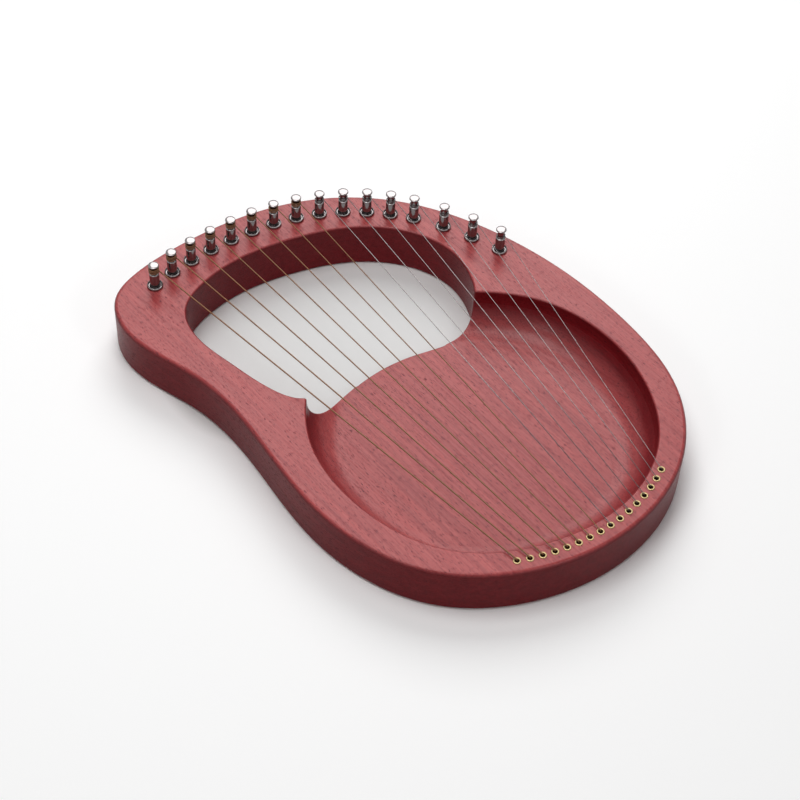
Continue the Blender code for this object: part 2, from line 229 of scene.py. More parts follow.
class LyreStrings(PropertyGroup):
    wound_thickest: size("Thickest wound", "Diameter of the first wound string", 0.00095)
    wound_thinnest: size("Thinnest wound", "Diameter of the last wound string", 0.00070)
    plain_thickest: size("Thickest plain", "Diameter of the first plain string", 0.00052)
    plain_thinnest: size("Thinnest plain", "Diameter of the last plain string", 0.00040)
    turn_gap: size("Turn gap", "Space between the turns on a pin", 0.00045)
    wound_turns: IntProperty(name="Wound turns", description="Turns of a wound string", default=3, min=1)
    plain_turns: IntProperty(name="Plain turns", description="Turns of a plain string", default=2, min=1)
    bronze: colour("Bronze", "Colour of the winding", (0.22, 0.11, 0.06))
    steel: colour("Steel", "Colour of the plain strings", (0.22, 0.20, 0.20))


class LyreStage(PropertyGroup):
    floor_size: size("Floor size", "Side of the square floor", 6.0)
    floor: colour("Floor", "Colour of the floor", (0.78, 0.78, 0.78))
    lens: FloatProperty(
        name="Lens", description="Focal length on a 36 mm sensor", default=83.2, unit="CAMERA"
    )


def closed_curve(points, spans):
    """A smooth closed curve through the points: a periodic cubic spline measured along its chords."""
    knots = np.array(points)
    count = len(knots)
    ahead = np.roll(knots, -1, axis=0) - knots
    length = np.hypot(ahead[:, 0], ahead[:, 1])
    matrix = np.zeros((count, count))
    right = np.zeros((count, 2))
    for i in range(count):
        before, after = length[i - 1], length[i]
        matrix[i, i - 1] = after
        matrix[i, i] = 2 * (before + after)
        matrix[i, (i + 1) % count] = before
        right[i] = 3 * (after * ahead[i - 1] / before + before * ahead[i] / after)
    slope = np.linalg.solve(matrix, right)
    t = np.linspace(0, 1, spans, endpoint=False)[:, None]
    rise = 3 * t**2 - 2 * t**3
    pieces = []
    for i in range(count):
        j = (i + 1) % count
        leave = (t - 2 * t**2 + t**3) * slope[i] * length[i]
        arrive = (t**3 - t**2) * slope[j] * length[i]
        pieces.append(knots[i] + rise * ahead[i] + leave + arrive)
    return np.vstack(pieces)


def spread(path, count, closed):
    """The same path with its points at even steps of length."""
    line = np.vstack([path, path[:1]]) if closed else path
    run = np.concatenate([[0], np.cumsum(np.hypot(*np.diff(line, axis=0).T))])
    stops = np.linspace(0, run[-1], count, endpoint=not closed)
    return np.column_stack([np.interp(stops, run, line[:, 0]), np.interp(stops, run, line[:, 1])])


def outward(path):
    """Unit vectors square to a closed clockwise path, pointing out of it."""
    ahead = np.roll(path, -1, axis=0) - np.roll(path, 1, axis=0)
    ahead /= np.hypot(ahead[:, 0], ahead[:, 1])[:, None]
    return np.column_stack([-ahead[:, 1], ahead[:, 0]])


def inside(points, path):
    """True for each point that lies inside a closed path, by counting the path's crossings of its level."""
    ends = np.roll(path, -1, axis=0)
    x, y = points[:, :1], points[:, 1:]
    spans = (path[:, 1] > y) != (ends[:, 1] > y)
    rise = np.where(ends[:, 1] == path[:, 1], 1, ends[:, 1] - path[:, 1])
    across = path[:, 0] + (y - path[:, 1]) * (ends[:, 0] - path[:, 0]) / rise
    return ((spans & (x < across)).sum(axis=1) % 2).astype(bool)


def crossing(start, leg, other, other_leg):
    """The points where two sets of short segments cross."""
    gap = other[None] - start[:, None]
    cross = leg[:, None, 0] * other_leg[None, :, 1] - leg[:, None, 1] * other_leg[None, :, 0]
    cross = np.where(abs(cross) < 1e-18, 1e-18, cross)
    t = (gap[..., 0] * other_leg[None, :, 1] - gap[..., 1] * other_leg[None, :, 0]) / cross
    u = (gap[..., 0] * leg[:, None, 1] - gap[..., 1] * leg[:, None, 0]) / cross
    found = np.argwhere((t >= 0) & (t < 1) & (u >= 0) & (u < 1))
    return [start[i] + t[i, j] * leg[i] for i, j in found]


def outside_run(path, other):
    """The part of a closed path that lies outside another, from one crossing to the next, as a line."""
    ends = crossing(path, np.roll(path, -1, axis=0) - path, other, np.roll(other, -1, axis=0) - other)
    out = ~inside(path, other)
    begin = np.argwhere(out & ~np.roll(out, 1))[0, 0]
    rolled = np.roll(path, -begin, axis=0)
    kept = rolled[: int(np.argmax(~np.roll(out, -begin)))]
    first = min(ends, key=lambda point: np.hypot(*(point - kept[0])))
    last = min(ends, key=lambda point: np.hypot(*(point - kept[-1])))
    return np.vstack([[first], kept, [last]])


def shortened(line, cut, count):
    """A line with a length cut off both its ends, respread."""
    run = np.concatenate([[0], np.cumsum(np.hypot(*np.diff(line, axis=0).T))])
    stops = np.linspace(cut, run[-1] - cut, count)
    return np.column_stack([np.interp(stops, run, line[:, 0]), np.interp(stops, run, line[:, 1])])


def joined_outline(opening, bowl, cut):
    """The outline round the opening and the bowl together, clockwise.

    It follows the opening where that is outside the bowl, then the bowl where that is outside the
    opening. The two corners are replaced with parabolas that touch both lines a short way off.
    """
    over = outside_run(opening, bowl)
    under = outside_run(bowl, opening)
    upper = shortened(over, cut, OPENING_RUN_POINTS)
    lower = shortened(under, cut, BOWL_RUN_POINTS)
    t = np.linspace(0, 1, FILLET_POINTS + 2)[1:-1, None]
    turns = [
        (1 - t) ** 2 * leave + 2 * t * (1 - t) * corner + t**2 * arrive
        for leave, corner, arrive in ((upper[-1], over[-1], lower[0]), (lower[-1], under[-1], upper[0]))
    ]
    return np.vstack([upper, turns[0], lower, turns[1]])


def quarter(radius, steps):
    """Pairs of rise and reach along a quarter circle, from its foot (0, 0) to (radius, radius)."""
    angle = np.linspace(0, pi / 2, steps + 1)
    return np.column_stack([radius * np.sin(angle), radius * (1 - np.cos(angle))])


def mesh_object(name, points, faces):
    """A new object at the origin, shaded smooth except over its sharp edges."""
    mesh = bpy.data.meshes.new(name)
    mesh.from_pydata(points, [], faces)
    mesh.validate()
    mesh.shade_smooth()
    mesh.set_sharp_from_angle(angle=SMOOTH_ANGLE)
    made = bpy.data.objects.new(name, mesh)
    bpy.context.scene.collection.objects.link(made)
    return made


def ring_faces(rings, sides):
    """Quads between closed rings that lie one after another in the list of points."""
    ring, side = np.meshgrid(np.arange(rings - 1), np.arange(sides), indexing="ij")
    here = ring * sides + side
    beside = ring * sides + (side + 1) % sides
    return np.stack([here, here + sides, beside + sides, beside], axis=-1).reshape(-1, 4)


def stacked(name, rings):
    """A closed solid from a stack of closed clockwise rings, lowest first, with flat ends."""
    sides = len(rings[0])
    points = np.vstack(rings)
    faces = ring_faces(len(rings), sides).tolist()
    faces.append(list(range(sides)))
    faces.append(list(range(len(points) - 1, len(points) - sides - 1, -1)))
    return mesh_object(name, points, faces)


def level(path, height):
    """A flat path's points at one height."""
    return np.column_stack([path, np.full(len(path), height)])


def turned(name, profile, places, height, sides):
    """A closed surface of revolution, one for each place: radius and height carried round an upright axis.

    A profile that starts or ends on the axis is closed there by a fan, and any other is a closed ring.
    """
    profile = np.array(profile)
    solid = profile[0, 0] == 0
    body = profile[1:-1] if solid else np.vstack([profile, profile[:1]])
    angle = np.linspace(0, 2 * pi, sides, endpoint=False)
    radius, rise = body[:, :1], body[:, 1:]
    ring = np.stack([radius * np.cos(angle), radius * np.sin(angle), rise + 0 * angle], axis=-1)
    points = ring.reshape(-1, 3) if solid else ring[:-1].reshape(-1, 3)
    faces = ring_faces(len(body), sides) % len(points)
    faces = faces[:, ::-1].tolist()
    if solid:
        last = len(points)
        points = np.vstack([points, [(0, 0, profile[0, 1]), (0, 0, profile[-1, 1])]])
        foot = last - sides
        faces += [(last, (i + 1) % sides, i) for i in range(sides)]
        faces += [(last + 1, foot + i, foot + (i + 1) % sides) for i in range(sides)]
    made = []
    for number, place in zip(NUMBERS, places):
        made.append(mesh_object(f"{name}_{number}", points + (*place, height), faces))
        flip_inside_out(made[-1].data)
    return made


def flip_inside_out(mesh):
    """Turns every face round if the mesh's signed volume is negative."""
    mesh.calc_loop_triangles()
    points = np.zeros(len(mesh.vertices) * 3)
    mesh.vertices.foreach_get("co", points)
    corners = np.zeros(len(mesh.loop_triangles) * 3, np.int32)
    mesh.loop_triangles.foreach_get("vertices", corners)
    a, b, c = np.moveaxis(points.reshape(-1, 3)[corners.reshape(-1, 3)], 1, 0)
    if (np.cross(a, b) * c).sum() < 0:
        mesh.flip_normals()


def upright_bars(name, radius, low, high, places, sides=BORE_SIDES):
    """Upright round bars, one at each place, as one cutter."""
    angle = np.linspace(0, 2 * pi, sides, endpoint=False)
    circle = np.column_stack([radius * np.cos(-angle), radius * np.sin(-angle)])
    points, faces = [], []
    for place in places:
        first = 2 * sides * len(points)
        points.append(np.vstack([level(circle + place, low), level(circle + place, high)]))
        faces += (ring_faces(2, sides) + first).tolist()
        faces.append([first + i for i in range(sides)])
        faces.append([first + 2 * sides - 1 - i for i in range(sides)])
    return mesh_object(name, np.vstack(points), faces)


def carve(target, cutters):
    """Cuts shapes out of a piece, then keeps only the finished mesh."""
    flip_inside_out(target.data)
    for cutter in cutters:
        flip_inside_out(cutter.data)
        modifier = target.modifiers.new(cutter.name, "BOOLEAN")
        modifier.operation = "DIFFERENCE"
        modifier.solver = "EXACT"
        modifier.object = cutter
    bpy.context.view_layer.update()
    graph = bpy.context.evaluated_depsgraph_get()
    mesh = bpy.data.meshes.new_from_object(target.evaluated_get(graph))
    target.modifiers.clear()
    target.data = mesh
    for cutter in cutters:
        bpy.data.objects.remove(cutter, do_unlink=True)
    mesh.shade_smooth()
    mesh.set_sharp_from_angle(angle=CARVED_SMOOTH_ANGLE)
    weighted = target.modifiers.new("even_faces", "WEIGHTED_NORMAL")
    weighted.keep_sharp = True


def middle(node):
    """The middle of a node's box, seen from above."""
    low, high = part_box(node)
    return np.array([(low.x + high.x) / 2, (low.y + high.y) / 2])


def ball_place(node):
    """Where a string's ball end stands: the middle of the lowest part of its node."""
    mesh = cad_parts[node].data
    points = np.zeros(len(mesh.vertices) * 3)
    mesh.vertices.foreach_get("co", points)
    points = points.reshape(-1, 3)
    low = points[points[:, 2] < BALL_TOP / 2 + points[:, 2].min() / 2]
    return (low[:, :2].min(axis=0) + low[:, :2].max(axis=0)) / 2


def pin_places():
    """Where the pins stand: the middles of their bushings."""
    return [middle(f"bushing_{number}") for number in NUMBERS]


def eyelet_places():
    """Where the eyelets are: straight above the strings' ball ends."""
    return [ball_place(f"string_{number}") for number in NUMBERS]


class Shader:
    """A material's node tree, with short ways to add and join its nodes."""

    def __init__(self, name):
        self.material = bpy.data.materials.new(name)
        self.material.use_nodes = True
        self.tree = self.material.node_tree
        self.base = self.tree.nodes["Principled BSDF"]

    def node(self, kind, inputs=None, **settings):
        made = self.tree.nodes.new(kind)
        for name, value in settings.items():
            setattr(made, name, value)
        for name, value in (inputs or {}).items():
            if isinstance(value, bpy.types.NodeSocket):
                self.tree.links.new(value, made.inputs[name])
            else:
                made.inputs[name].default_value = value
        return made

    def place(self, scale=(1, 1, 1), shift=(0, 0, 0)):
        """The piece's own coordinates in metres, scaled and then shifted."""
        coordinates = self.node("ShaderNodeTexCoord").outputs["Object"]
        inputs = {"Vector": coordinates, "Scale": scale, "Location": shift}
        return self.node("ShaderNodeMapping", inputs).outputs["Vector"]

    def noise(self, vector, scale, detail, roughness=0.5):
        inputs = {"Vector": vector, "Scale": scale, "Detail": detail, "Roughness": roughness}
        return self.node("ShaderNodeTexNoise", inputs).outputs["Fac"]

    def grain(self, pattern, detail, roughness, stops):
        """Noise drawn out along +Y, the way the wood's grain runs, put through a ramp."""
        scale, along = pattern
        return self.ramp(self.noise(self.place(scale=(1, along, 1)), scale, detail, roughness), stops)

    def ramp(self, factor, stops):
        made = self.node("ShaderNodeValToRGB", {"Fac": factor})
        ramp = made.color_ramp
        while len(ramp.elements) < len(stops):
            ramp.elements.new(1.0)
        for element, (place, tone) in zip(ramp.elements, stops):
            element.position = place
            element.color = (tone, tone, tone, 1) if isinstance(tone, (int, float)) else (*tone, 1)
        return made.outputs["Color"]

    def mix(self, factor, first, second, blend="MIX"):
        made = self.node("ShaderNodeMix", data_type="RGBA", blend_type=blend)
        for socket, value in ((made.inputs[0], factor), (made.inputs[6], first), (made.inputs[7], second)):
            if isinstance(value, bpy.types.NodeSocket):
                self.tree.links.new(value, socket)
            else:
                socket.default_value = value if isinstance(value, (int, float)) else (*value, 1)
        return made.outputs[2]

    def maths(self, operation, first, second):
        made = self.node("ShaderNodeMath", operation=operation)
        for socket, value in zip(made.inputs, (first, second)):
            if isinstance(value, bpy.types.NodeSocket):
                self.tree.links.new(value, socket)
            else:
                socket.default_value = value
        return made.outputs[0]

    def bump(self, height, distance, strength=1.0):
        inputs = {"Height": height, "Distance": distance, "Strength": strength}
        self.join(self.node("ShaderNodeBump", inputs).outputs["Normal"], "Normal")

    def join(self, output, name):
        self.tree.links.new(output, self.base.inputs[name])

    def set(self, **values):
        for name, value in values.items():
            self.base.inputs[name.replace("_", " ")].default_value = value


def wood_material(name, settings, gloss):
    """Red-stained mahogany under satin lacquer: long figure, clouds, fine streaks and open pores, with
    painted shade that darkens the steep sides.
    """
    shader = Shader(name)
    figure = shader.grain(FIGURE, 4, 0.6, [(0.36, 0.0), (0.66, 1.0)])
    cloud = shader.grain(CLOUD, 2, 0.5, [(0.35, 0.0), (0.7, 1.0)])
    tone = shader.mix(figure, settings.light_wood, settings.dark_wood)
    tone = shader.mix(shader.maths("MULTIPLY", cloud, 0.35), tone, settings.dark_wood)
    streaks = shader.grain(FINE_STREAKS, 3, 0.6, [(0.40, 1.0), (0.62, 0.0)])
    tone = shader.mix(shader.maths("MULTIPLY", streaks, 0.22), tone, STREAK_COLOUR)
    pores = shader.grain(PORES, 2, 0.5, [(0.600, 0.0), (0.650, 1.0)])
    tone = shader.mix(shader.maths("MULTIPLY", pores, 0.85), tone, settings.pore)
    normal = shader.node("ShaderNodeTexCoord").outputs["Normal"]
    upright = shader.node("ShaderNodeSeparateXYZ", {"Vector": normal}).outputs["Z"]
    # Painted shade: steep faces, such as the walls and the rounded edges, have their colour multiplied
    # darker
    steep = shader.ramp(shader.maths("ABSOLUTE", upright, 0.0), [(0.50, 1.0), (0.985, 0.0)])
    shader.join(shader.mix(steep, tone, STEEP_PAINTED_SHADE, "MULTIPLY"), "Base Color")
    shader.join(shader.ramp(pores, [(0.0, 0.30), (1.0, 0.55)]), "Roughness")
    shader.set(Specular_IOR_Level=gloss)
    shader.bump(shader.maths("SUBTRACT", figure, pores), 0.00005, 0.6)
    return shader.material


def metal_material(name, tone, roughness, scratch, spot):
    """Plated metal with faint turning marks round it and slightly uneven gloss."""
    shader = Shader(name)
    smudge = shader.noise(shader.place(), spot, 3)
    dull = [0.72 * part for part in tone]
    shader.join(shader.mix(shader.maths("MULTIPLY", smudge, 0.35), tone, dull), "Base Color")
    shader.join(shader.ramp(smudge, [(0.3, roughness), (0.7, roughness * 1.8)]), "Roughness")
    shader.set(Metallic=1.0)
    marks = shader.noise(shader.place(scale=(0.02, 0.02, 1)), scratch, 2)
    shader.bump(marks, 0.00002, 0.25)
    return shader.material


def string_material(name, tone, roughness, ridge_scale):
    """Metal string whose winding is a row of fine ridges round it, read from its own length map, with
    painted shade in the grooves between the ridges.
    """
    shader = Shader(name)
    length = shader.node("ShaderNodeUVMap", uv_map="length").outputs["UV"]
    wave = shader.node("ShaderNodeTexWave", {"Vector": length, "Scale": ridge_scale, "Distortion": 0.0})
    ridge = wave.outputs["Fac"]
    # Painted shade: the colour darkens where the ridge pattern is low, in the grooves between the turns
    groove_shade = [0.35 * part for part in tone]
    shader.join(shader.mix(shader.ramp(ridge, [(0.1, 0.0), (0.6, 1.0)]), groove_shade, tone), "Base Color")
    smudge = shader.noise(shader.place(), 300, 2)
    shader.join(shader.ramp(smudge, [(0.3, roughness), (0.7, roughness * 1.4)]), "Roughness")
    shader.set(Metallic=1.0)
    shader.bump(ridge, 0.00008, 0.7)
    return shader.material


def finish_piece(piece, body, node, material, slot):
    """Gives a piece its material and the body that it rides on, and hides the node that it stands for,
    where it has one.
    """
    piece.data.materials.clear()
    piece.data.materials.append(material)
    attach(piece, body)
    if node:
        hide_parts(node)


class LYRE_OT_body(Operator):
    """Carve the body: a slab with rounded edges, a hand opening, a coved bowl and the bores"""

    bl_idname = "lyre.body"
    bl_label = "Body"

    def execute(self, context):
        settings = context.scene.lyre_body
        top = settings.thickness
        outline = spread(closed_curve(BODY_OUTLINE, SPLINE_SPANS), OUTLINE_POINTS, True)
        out = outward(outline)
        edge = quarter(settings.outer_round, ROUND_STEPS)
        rounds = [(settings.outer_round - rise, reach) for rise, reach in edge[::-1]]
        rounds += [(top - settings.outer_round + rise, reach) for rise, reach in edge]
        slab = stacked("wood_body", [level(outline - out * inset, height) for height, inset in rounds])
        hollow = stacked("hollow", hollow_rings(settings))
        pins, eyelets = pin_places(), eyelet_places()
        above, below = top + CUTTER_OVERREACH, -CUTTER_OVERREACH
        bores = [
            upright_bars("sleeve_holes", SLEEVE_HOLE_RADIUS, top - SLEEVE_HOLE_DEPTH, above, pins),
            upright_bars("shaft_holes", SHAFT_HOLE_RADIUS, SHAFT_HOLE_FOOT, top, pins),
            upright_bars("wrench_recesses", WRENCH_RECESS_RADIUS, below, WRENCH_RECESS_TOP, pins),
            upright_bars(
                "eyelet_bores", EYELET_HOLE_RADIUS, EYELET_HOLE_FOOT, above, eyelets, SMALL_BORE_SIDES
            ),
            upright_bars(
                "ball_recesses", BALL_RECESS_RADIUS, below, BALL_RECESS_TOP, eyelets, SMALL_BORE_SIDES
            ),
        ]
        carve(slab, [hollow, *bores])
        lacquer = wood_material("lacquered_face", settings, FACE_GLOSS)
        finish_piece(slab, "frame", "body", lacquer, "mahogany")
        slab.data.materials.append(wood_material("satin_side", settings, SIDE_GLOSS))
        normals = np.zeros(len(slab.data.polygons) * 3)
        slab.data.polygons.foreach_get("normal", normals)
        steep = (abs(normals[2::3]) < STEEP_LIMIT).astype(np.int32)
        slab.data.polygons.foreach_set("material_index", steep)
        return {"FINISHED"}


def hollow_rings(settings):
    """The space cut out of the slab, as rings from below the back to above the face.

    Below the bowl's floor it is the hand opening alone, whose back rim is rounded outwards. From the
    floor up it is the opening and the bowl joined. The bowl's part is set in by the cove, a quarter
    circle, and both open outwards in a quarter circle at the face.
    """
    top, floor, cove = settings.thickness, settings.bowl_floor, settings.cove
    opening = spread(closed_curve(OPENING_OUTLINE, SPLINE_SPANS), OPENING_POINTS, True)
    bowl = spread(closed_curve(BOWL_OUTLINE, SPLINE_SPANS), BOWL_POINTS, True)
    open_out, bowl_out = outward(opening), outward(bowl)
    cut = settings.cusp_round
    upper = []
    for rise, reach in quarter(cove, COVE_STEPS)[::-1]:
        upper.append((floor + cove - rise, opening, bowl - bowl_out * reach))
    for rise, reach in quarter(settings.rim_round, ROUND_STEPS):
        upper.append((top - settings.rim_round + rise, opening + open_out * reach, bowl + bowl_out * reach))
    last_height, last_opening, last_bowl = upper[-1]
    upper.append((last_height + HOLLOW_OVERREACH, last_opening, last_bowl))
    rings = [level(joined_outline(a, b, cut), height) for height, a, b in upper]
    low_ring = opening_ring(opening, bowl - bowl_out * cove, cut)
    side = outward(low_ring)
    lower = [level(low_ring + side * settings.rim_round, -HOLLOW_OVERREACH)]
    for rise, reach in quarter(settings.rim_round, ROUND_STEPS)[::-1]:
        lower.append(level(low_ring + side * reach, settings.rim_round - rise))
    lip = lip_share(len(low_ring))[:, None]
    for rise, reach in quarter(settings.lip_round, ROUND_STEPS):
        lower.append(level(low_ring + side * lip * reach, floor - settings.lip_round + rise))
    return lower + rings


def opening_ring(opening, bowl, cut):
    """The hand opening alone, with its points in step with the joined outline's."""
    upper = shortened(outside_run(opening, bowl), cut, OPENING_RUN_POINTS)
    first = np.argmin(np.hypot(*(opening - upper[-1]).T))
    last = np.argmin(np.hypot(*(opening - upper[0]).T))
    rolled = np.roll(opening, -first, axis=0)
    under = rolled[: (last - first) % len(opening) + 1]
    line = np.vstack([[upper[-1]], under[1:-1], [upper[0]]])
    rest = spread(line, BOWL_RUN_POINTS + 2 * FILLET_POINTS + 2, False)[1:-1]
    return np.vstack([upper, rest])


def lip_share(count):
    """How much of the lip's round each point gets: none along the hand opening, all along the floor."""
    place = np.arange(count)
    into = np.clip((place - OPENING_RUN_POINTS) / LIP_BLEND_POINTS, 0, 1)
    out = np.clip((count - 1 - place) / LIP_BLEND_POINTS, 0, 1)
    share = np.minimum(into, out)
    return share**2 * (3 - 2 * share)


class LYRE_OT_pins(Operator):
    """Turn the sixteen tuning pins, with a domed head, a waist, a shouldered post and a square end"""

    bl_idname = "lyre.pins"
    bl_label = "Tuning pins"

    def execute(self, context):
        settings = context.scene.lyre_metal
        face = context.scene.lyre_body.thickness
        high, head = settings.pin_height, settings.head_radius
        post, waist = settings.post_radius, settings.waist_radius
        foot = high - WAIST_FOOT_DROP
        shaft_end = WRENCH_RECESS_TOP - face
        profile = [
            (0, high), (0.55 * head, high - 0.00006), (0.82 * head, high - 0.00018),
            (head - 0.00022, high - 0.00036), (head - 0.00006, high - 0.00052), (head, high - 0.00074),
            (head, high - 0.00098), (head - 0.0001, high - 0.00114), (head - 0.00035, high - 0.00122),
            (waist + 0.0005, high - 0.00142), (waist + 0.00012, high - 0.00162), (waist, high - 0.0019),
            (waist, foot + 0.0002), (waist + 0.0001, foot), (post - 0.0003, foot - 0.0003),
            (post - 0.00008, foot - 0.0005), (post, foot - 0.0008), (post, 0.0004), (post, -SLEEVE_LENGTH),
            (SHAFT_RADIUS, -SLEEVE_LENGTH), (SHAFT_RADIUS, shaft_end), (0, shaft_end),
        ]
        nickel = metal_material("polished_nickel", settings.nickel, 0.10, 4000, 500)
        places = pin_places()
        for piece, number in zip(turned("tuning_pin", profile, places, face, PIN_SIDES), NUMBERS):
            finish_piece(piece, f"pin_{number}", f"pin_{number}", nickel, "polished_nickel")
        for number, place in zip(NUMBERS, places):
            wide = SQUARE_HALF_WIDTH * np.array([(-1, 1), (1, 1), (1, -1), (-1, -1)])
            narrow = wide * SQUARE_END_SHARE
            section = ((narrow, SQUARE_FOOT), (wide, SQUARE_CHAMFER_TOP), (wide, SQUARE_TOP))
            rings = [level(corners + place, height) for corners, height in section]
            square = stacked(f"wrench_square_{number}", rings)
            flip_inside_out(square.data)
            finish_piece(square, f"pin_{number}", None, nickel, "polished_nickel")
        return {"FINISHED"}


class LYRE_OT_bushings(Operator):
    """Turn the sixteen flanged bushings: a dished ring on the face and a sleeve in the wood"""

    bl_idname = "lyre.bushings"
    bl_label = "Bushings"

    def execute(self, context):
        settings = context.scene.lyre_metal
        face = context.scene.lyre_body.thickness
        rim, high = settings.flange_radius, settings.flange_thickness
        bore, seat = SLEEVE_BORE_RADIUS, FLANGE_SEAT_GAP
        profile = [
            (bore, 0.0010), (bore + 0.0002, 0.00085), (bore + 0.0005, 0.0009), (bore + 0.0008, 0.0013),
            (bore + 0.0010, high - 0.00015), (bore + 0.0012, high), (bore + 0.0014, high - 0.00006),
            (rim - 0.00012, high - 0.0004), (rim, high - 0.0008), (rim, 0.0005), (rim - 0.00005, seat),
            (SLEEVE_RADIUS, seat), (SLEEVE_RADIUS, -SLEEVE_LENGTH), (bore, -SLEEVE_LENGTH),
        ]
        nickel = metal_material("bushing_nickel", settings.nickel, 0.12, 3000, 400)
        pieces = turned("flanged_bushing", profile, pin_places(), face, BUSHING_SIDES)
        for piece, number in zip(pieces, NUMBERS):
            finish_piece(piece, "frame", f"bushing_{number}", nickel, "polished_nickel")
        return {"FINISHED"}


class LYRE_OT_eyelets(Operator):
    """Turn the sixteen brass eyelets that line the string holes"""

    bl_idname = "lyre.eyelets"
    bl_label = "Eyelets"

    def execute(self, context):
        settings = context.scene.lyre_metal
        face = context.scene.lyre_body.thickness
        rim, bore = settings.eyelet_radius, settings.eyelet_bore
        profile = [
            (bore, -0.0004), (bore + 0.0001, 0.0001), (bore + 0.00035, 0.00042), (bore + 0.0007, 0.00056),
            (rim - 0.0003, 0.0005), (rim - 0.00006, 0.0003), (rim, 0.0001), (rim, EYELET_SEAT_GAP),
            (EYELET_BARREL_RADIUS, EYELET_SEAT_GAP), (EYELET_BARREL_RADIUS, -EYELET_BARREL_LENGTH),
            (bore, -EYELET_BARREL_LENGTH),
        ]
        brass = metal_material("brass", settings.brass, 0.24, 3000, 600)
        for piece in turned("brass_eyelet", profile, eyelet_places(), face, EYELET_SIDES):
            finish_piece(piece, "frame", None, brass, "bronze_wound_string")
        return {"FINISHED"}


def string_line(pin, eyelet, radius, turns, settings, metal, face):
    """Points, sideways vectors and radii along a string.

    A helix down the pin's waist leaves it along its tangent towards the eyelet, runs straight to it,
    bends down in a quarter circle and ends in a barrel-shaped ball under the wood.
    """
    coil = metal.waist_radius + TURN_CLEARANCE + radius
    low = face + metal.pin_height - WAIST_FOOT_DROP + radius + LOWEST_TURN_GAP
    pitch = 2 * radius + settings.turn_gap
    away = eyelet - pin
    distance = np.hypot(*away)
    leave = atan2(away[1], away[0]) + acos(coil / distance)
    left = np.linspace(turns, 0, turns * TURN_POINTS + 1)
    angle = leave + 2 * pi * left
    side = np.column_stack([np.cos(angle), np.sin(angle), 0 * angle])
    helix = np.column_stack([pin[0] + coil * side[:, 0], pin[1] + coil * side[:, 1], low + pitch * left])
    stub = helix[0] + STUB_LENGTH * np.array([-sin(angle[0]), cos(angle[0]), 0])
    helix = np.vstack([stub, helix])
    side = np.vstack([side[:1], side])
    over = np.array([*eyelet, face + EYELET_CLEARANCE + radius])
    plan = over[:2] - helix[-1, :2]
    plan = np.array([*(plan / np.hypot(*plan)), 0])
    bend = np.linspace(0, pi / 2, BEND_POINTS)[:, None]
    short = BEND_RADIUS * (1 - np.sin(bend))
    arc = over - plan * short - np.array([0, 0, BEND_RADIUS]) * (1 - np.cos(bend))
    run = helix[-1] + np.linspace(0, 1, RUN_POINTS)[1:-1, None] * (arc[0] - helix[-1])
    below, swell = np.array(BALL_PROFILE).T
    drop = np.column_stack([np.full((len(below), 2), eyelet), BALL_TOP - below])
    line = np.vstack([helix, run, arc, drop])
    last = np.array([[cos(leave), sin(leave), 0]])
    side = np.vstack([side, np.repeat(last, len(line) - len(side), axis=0)])
    radii = np.full(len(line), radius)
    radii[-len(below):] = radius + swell * (BALL_RADIUS - radius)
    return line, side, radii


def tube(name, line, side, radii, sides):
    """A closed tube: a circle carried along a line, square to it, with flat ends and a length map."""
    ahead = np.gradient(line, axis=0)
    ahead /= np.linalg.norm(ahead, axis=1)[:, None]
    side = side - (side * ahead).sum(axis=1)[:, None] * ahead
    side /= np.linalg.norm(side, axis=1)[:, None]
    up = np.cross(ahead, side)
    angle = np.linspace(0, 2 * pi, sides, endpoint=False)[None, :, None]
    circle = np.cos(angle) * side[:, None] + np.sin(angle) * up[:, None]
    rings = line[:, None] + radii[:, None, None] * circle
    points = rings.reshape(-1, 3)
    faces = ring_faces(len(line), sides).tolist()
    faces.append(list(range(sides)))
    faces.append(list(range(len(points) - 1, len(points) - sides - 1, -1)))
    made = mesh_object(name, points, faces)
    run = np.concatenate([[0], np.cumsum(np.linalg.norm(np.diff(line, axis=0), axis=1))])
    flip_inside_out(made.data)
    corners = np.zeros(len(made.data.loops), np.int32)
    made.data.loops.foreach_get("vertex_index", corners)
    uv = made.data.uv_layers.new(name="length")
    flat = np.column_stack([run[corners // sides], (corners % sides) / sides * 0.001])
    uv.data.foreach_set("uv", flat.ravel())
    return made


class LYRE_OT_strings(Operator):
    """String the lyre: eight strings wound in bronze and eight of plain steel"""

    bl_idname = "lyre.strings"
    bl_label = "Strings"

    def execute(self, context):
        settings = context.scene.lyre_strings
        metal = context.scene.lyre_metal
        face = context.scene.lyre_body.thickness
        bronze = string_material("bronze_winding", settings.bronze, 0.30, 600)
        steel = string_material("plain_steel", settings.steel, 0.22, 1)
        wound = np.linspace(settings.wound_thickest, settings.wound_thinnest, WOUND_COUNT)
        plain = np.linspace(settings.plain_thickest, settings.plain_thinnest, COUNT - WOUND_COUNT)
        for index, (number, pin, eyelet) in enumerate(zip(NUMBERS, pin_places(), eyelet_places())):
            is_wound = index < WOUND_COUNT
            diameter = wound[index] if is_wound else plain[index - WOUND_COUNT]
            turns = settings.wound_turns if is_wound else settings.plain_turns
            line, side, radii = string_line(pin, eyelet, diameter / 2, turns, settings, metal, face)
            name = "wound_string" if is_wound else "plain_string"
            piece = tube(f"{name}_{number}", line, side, radii, STRING_SIDES)
            finish = (bronze, "bronze_wound_string") if is_wound else (steel, "steel_string")
            finish_piece(piece, "frame", f"string_{number}", *finish)
        return {"FINISHED"}


